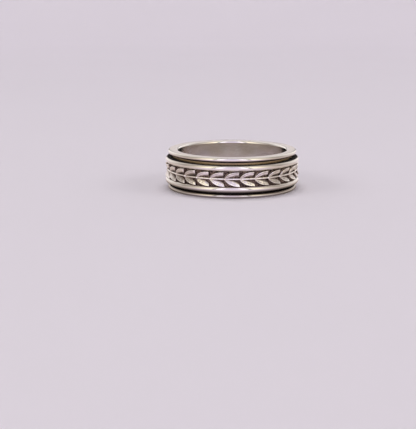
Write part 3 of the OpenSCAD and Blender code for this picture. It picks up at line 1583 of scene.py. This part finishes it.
@dataclass
class Studio:
    """The pale surface, the light tent and the camera.

    The surface is a bowl that runs up into its own backdrop. The silver mirrors a tent and a table that
    nothing else sees. A bearing is an angle round the ring from the camera's side, to left and right alike.

    Attributes:
        target: The middle of the ring.
        distance, elevation: The camera's distance from it, and its angle above the ring's plane.
        image, ring_at: Size of the image, and where the ring's middle stands in it, in pixels.
        focal_px, sensor, clip: The picture's distance in pixels, the sensor's width, and the range of sight.
        turns: Steps round the bowl, the tent and the table.
        surface, surface_tint, cloud, cloud_mask: Colour of the surface, and its faint clouds.
        backdrop_glow: Light that the backdrop adds where it stands upright.
        floor_r, floor_rings: Radius of the floor, and radii at which it has rings of points.
        bend, bend_steps, wall: Radius of the curve at its edge, steps in it, and height of the wall.
        upright: How the backdrop's glow begins, by the height as a share of the curve's.
        tent_r, tent_lift: Radius of the tent and of the table, and height of the tent's middle.
        tent_foot, tent_rings: Angle of the tent's foot below its middle, and steps from there to the top.
        tent_round: The tent's light by the bearing in degrees.
        tent_top, tent_back_top: Light of its top on the camera's side, and on the far side.
        top_start, back_start: How its top begins, by the share of its radius, and how the far side begins,
            by the share of half a turn.
        table_drop, mirror_floor: Depth of the table, and its light by millimetres from the ring's axis.
        table_front, table_side, table_back: Its tint on the camera's side, beside the ring and behind it.
        side_start, behind_start: How the last two begin, by the bearing in radians.
        lamps: The lamps.
        air, air_light: Colour and strength of the light from all sides.
    """

    target: Vector
    distance: float = 190 * MM
    elevation: float = math.radians(9.5)
    image: tuple[int, int] = (416, 429)
    ring_at: Pair = (232.4, 167.6)
    focal_px: float = 1126.0
    sensor: float = 36.0
    clip: Pair = (10 * MM, 4.0)
    turns: int = 96
    surface: Colour = (0.79, 0.755, 0.80)
    surface_tint: Colour = (0.78, 0.745, 0.79)
    cloud: Grain = Grain(14.0)
    cloud_mask: Fade = Fade(0.3, 0.7, 0.5)
    backdrop_glow: Colour = (0.20, 0.188, 0.20)
    floor_r: float = 420 * MM
    floor_rings: tuple[float, ...] = (200 * MM, 60 * MM, 0.0)
    bend: float = 200 * MM
    bend_steps: int = 12
    wall: float = 260 * MM
    upright: Fade = Fade(0.0, 0.9)
    tent_r: float = 330 * MM
    tent_foot: float = 6.0
    tent_rings: int = 24
    tent_lift: float = 4 * MM
    tent_round: Stops = (
        (0.0, (0.82, 0.74, 0.92)),
        (12.0, (0.90, 0.82, 1.00)),
        (18.0, (1.36, 1.30, 1.42)),
        (26.0, (1.38, 1.33, 1.42)),
        (29.0, (0.30, 0.30, 0.31)),
        (32.0, (0.36, 0.36, 0.35)),
        (36.0, (1.36, 1.28, 1.08)),
        (50.0, (1.16, 1.06, 0.86)),
        (66.0, (0.70, 0.63, 0.55)),
        (90.0, (0.36, 0.315, 0.285)),
        (108.0, (0.54, 0.50, 0.47)),
        (128.0, (0.82, 0.77, 0.74)),
        (150.0, (1.00, 0.95, 0.92)),
        (162.0, (1.06, 1.01, 1.00)),
        (165.0, (0.32, 0.31, 0.31)),
        (169.0, (0.34, 0.33, 0.33)),
        (173.0, (0.74, 0.675, 0.66)),
        (180.0, (0.76, 0.70, 0.72)),
    )
    tent_top: Colour = (0.30, 0.27, 0.25)
    tent_back_top: Colour = (0.82, 0.79, 0.80)
    top_start: Fade = Fade(0.90, 0.99)
    back_start: Fade = Fade(0.45, 0.75)
    table_drop: float = 0.3 * MM
    mirror_floor: Stops = (
        (4.0, (0.44, 0.42, 0.41)),
        (8.5, (0.38, 0.36, 0.35)),
        (10.0, (0.11, 0.10, 0.096)),
        (11.6, (0.25, 0.227, 0.216)),
        (13.5, (0.58, 0.54, 0.53)),
        (17.0, (0.84, 0.79, 0.80)),
        (25.0, (0.98, 0.92, 0.95)),
        (38.0, (0.86, 0.80, 0.83)),
        (60.0, (0.84, 0.78, 0.82)),
        (330.0, (0.92, 0.86, 0.93)),
    )
    table_front: Colour = (1.0, 0.91, 1.04)
    table_side: Colour = (0.74, 0.67, 0.62)
    table_back: Colour = (0.96, 0.90, 0.93)
    side_start: Fade = Fade(0.5, 1.1)
    behind_start: Fade = Fade(1.9, 2.6)
    lamps: tuple[Lamp, ...] = (
        Lamp("overhead", (0.0, 160 * MM, 1500 * MM), 1300 * MM, 10.9, (1.0, 0.985, 0.99)),
        Lamp("left_side", (-420 * MM, -160 * MM, 300 * MM), 260 * MM, 0.4, (1.0, 0.98, 0.95)),
        Lamp("right_side", (420 * MM, -120 * MM, 300 * MM), 260 * MM, 0.4, (1.0, 0.98, 0.95)),
    )
    air: Colour = (0.90, 0.84, 0.90)
    air_light: float = 0.10

    def build(self) -> None:
        """Builds the studio."""
        self.build_surface()
        self.build_tent()
        for lamp in self.lamps:
            lamp.hang(self.target)
        self.fill_air()
        self.build_camera()
        self.set_view()

    def build_surface(self) -> None:
        """Builds the floor and the backdrop as one bowl round the ring, open at the top."""
        profile = [(self.floor_r + self.bend, self.bend + self.wall)]
        for step in range(self.bend_steps, -1, -1):
            angle = math.pi / 2 * step / self.bend_steps
            lift = self.bend - self.bend * math.cos(angle)
            profile.append((self.floor_r + self.bend * math.sin(angle), lift))
        profile += [(r, 0.0) for r in self.floor_rings]
        sheet = SurfaceSheet("pale_surface")
        tint = sheet.blend(self.cloud_mask.of(sheet.noise(self.cloud)), self.surface, self.surface_tint)
        upright = self.upright.of(sheet.z / self.bend)
        material = sheet.dress(
            base_color=tint,
            roughness=0.9,
            specular_ior_level=0.0,
            emission_color=sheet.blend(upright, (0.0, 0.0, 0.0), self.backdrop_glow),
            emission_strength=1.0,
        )
        bowl = new_piece("studio_surface", *turned(profile, self.turns, closed=False), material)
        bowl.visible_glossy = False

    def build_tent(self) -> None:
        """Builds the light tent and the table that the silver mirrors: only reflections see them."""
        dome = [(0.0, self.tent_r + self.tent_lift)]
        for ring in range(self.tent_rings - 1, -1, -1):
            angle = math.radians((90 + self.tent_foot) * ring / self.tent_rings - self.tent_foot)
            dome.append((self.tent_r * math.cos(angle), self.tent_r * math.sin(angle) + self.tent_lift))
        tent = new_piece("light_tent", *turned(dome, self.turns, closed=False), self.tent_material())
        disc, _ = turned([(self.tent_r, -self.table_drop)], self.turns, closed=False)
        table = new_piece("mirrored_table", disc, [tuple(range(self.turns))], self.table_material())
        for piece in (tent, table):
            for ray in ("camera", "diffuse", "transmission", "volume_scatter", "shadow"):
                setattr(piece, f"visible_{ray}", False)

    def tent_material(self) -> Material:
        """Paints the tent's light: a lilac front, a dark edge to each side of it, cream sides, a dim top.

        Returns:
            The material.
        """
        sheet = SurfaceSheet("tent_light", "ShaderNodeEmission")
        share = sheet.bearing() / math.pi
        stops = [(angle / 180, colour) for angle, colour in self.tent_round]
        sides = sheet.out("ShaderNodeValToRGB", {"Fac": share}, "Color", stops=stops)
        top = sheet.blend(self.back_start.of(share), self.tent_top, self.tent_back_top)
        light = sheet.blend(self.top_start.of(sheet.z / self.tent_r), sides, top)
        return sheet.dress(color=light, strength=1.0)

    def table_material(self) -> Material:
        """Paints the mirrored table: dark beside the ring, where it shades the table, and pale far out.

        Returns:
            The material.
        """
        sheet = SurfaceSheet("table_light", "ShaderNodeEmission")
        bearing = sheet.bearing()
        side, behind = self.side_start.of(bearing), self.behind_start.of(bearing)
        tint = sheet.layered(self.table_front, (side, self.table_side), (behind, self.table_back))
        stops = [(math.sqrt(r * MM / self.tent_r), colour) for r, colour in self.mirror_floor]
        share = (sheet.radius / self.tent_r).math("SQRT")
        light = sheet.out("ShaderNodeValToRGB", {"Fac": share}, "Color", stops=stops)
        return sheet.dress(color=sheet.blend(1.0, light, tint, "MULTIPLY"), strength=1.0)

    def fill_air(self) -> None:
        """Adds a little light from all sides."""
        world = bpy.data.worlds.new("studio_air")
        world.use_nodes = True
        sheet = NodeSheet(world.node_tree)
        sheet.tree.nodes.clear()
        glow = sheet.out("ShaderNodeBackground", {"Color": self.air, "Strength": self.air_light})
        sheet.node("ShaderNodeOutputWorld", {"Surface": glow})
        bpy.context.scene.world = world

    def build_camera(self) -> None:
        """Sets up the camera at the photograph's angle and aims it so that the ring stands in its place."""
        width, height = self.image
        data = bpy.data.cameras.new("camera")
        data.sensor_fit = "AUTO"
        data.sensor_width = self.sensor
        data.lens = self.focal_px * self.sensor / max(width, height)
        data.clip_start, data.clip_end = self.clip
        camera = bpy.data.objects.new("camera", data)
        to_ring = Vector((0.0, math.cos(self.elevation), -math.sin(self.elevation)))
        camera.location = self.target - to_ring * self.distance
        turn = math.atan2(self.ring_at[0] - width / 2, self.focal_px)
        drop = math.atan2(height / 2 - self.ring_at[1], self.focal_px)
        camera.rotation_euler = (math.pi / 2 - self.elevation - drop, 0.0, turn)
        bpy.context.scene.collection.objects.link(camera)
        bpy.context.scene.camera = camera

    @staticmethod
    def set_view() -> None:
        """Shows colours as they are, with no film curve."""
        settings = bpy.context.scene.view_settings
        settings.view_transform = "Standard"
        settings.look = "None"
        settings.exposure = 0.0


def bore_radius() -> float:
    """Reads the finger hole's radius from the record's mount."""
    mounts = frame["record"]["mounts"]
    return next(mount["dims"]["r_mm"] for mount in mounts if mount["name"] == "finger_bore") * MM


def main() -> None:
    """Builds the ring and its studio."""
    logging.basicConfig(level=logging.INFO, format="%(name)s: %(message)s")
    _, base_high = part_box("base_band")
    spin_low, spin_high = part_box("spinner_band")
    inner = InnerBand(top=base_high.z, bore_r=bore_radius(), side_r=base_high.x)
    outer = OuterBand(bottom=spin_low.z, top=spin_high.z)
    for piece in (inner.build(), *outer.build()):
        piece.data.calc_loop_triangles()
        log.info("%s: %d triangles", piece.name, len(piece.data.loop_triangles))
    Studio(target=Vector((0.0, 0.0, base_high.z / 2))).build()


if __name__ == "__main__":
    main()
